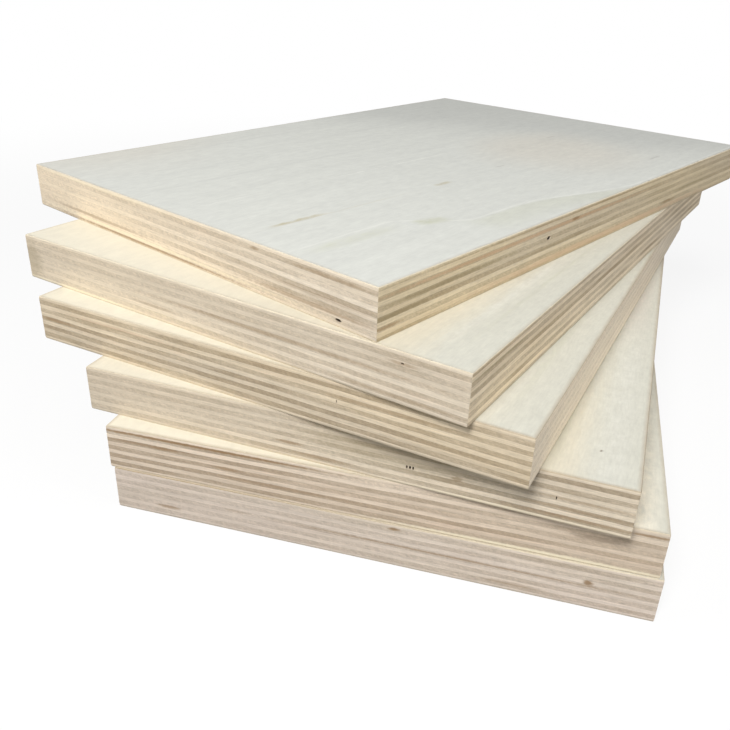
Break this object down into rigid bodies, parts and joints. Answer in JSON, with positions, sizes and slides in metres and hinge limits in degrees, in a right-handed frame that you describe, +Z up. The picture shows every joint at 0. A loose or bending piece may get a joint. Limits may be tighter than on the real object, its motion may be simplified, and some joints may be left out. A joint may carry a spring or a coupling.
{
  "type": "stack of plywood sheets",
  "caption": "Fanned stack of flat plywood sheets, each laminated from thin veneers whose alternating plies show as stripes on the sawn edges.",
  "frame": {"origin": "centre of the lowest sheet's underside, on the floor", "axes": "+Z up, +X along the lowest sheet's short side, +Y along its long side"},
  "size_m": [0.3112, 0.3673, 0.108],
  "materials": {
    "face_veneer": "fine sanded pale face veneer, matt",
    "cross_ply": "sawn pale core veneer, grain across the sheet",
    "long_ply": "sawn brown core veneer, grain along the sheet"
  },
  "bodies": {
    "root": {"sheet_1_face_veneers": "face_veneer", "sheet_1_cross_plies": "cross_ply", "sheet_1_long_plies": "long_ply", "sheet_2_face_veneers": "face_veneer", "sheet_2_cross_plies": "cross_ply", "sheet_2_long_plies": "long_ply", "sheet_3_face_veneers": "face_veneer", "sheet_3_cross_plies": "cross_ply", "sheet_3_long_plies": "long_ply", "sheet_4_face_veneers": "face_veneer", "sheet_4_cross_plies": "cross_ply", "sheet_4_long_plies": "long_ply", "sheet_5_face_veneers": "face_veneer", "sheet_5_cross_plies": "cross_ply", "sheet_5_long_plies": "long_ply", "sheet_6_face_veneers": "face_veneer", "sheet_6_cross_plies": "cross_ply", "sheet_6_long_plies": "long_ply"}
  },
  "joints": []
}
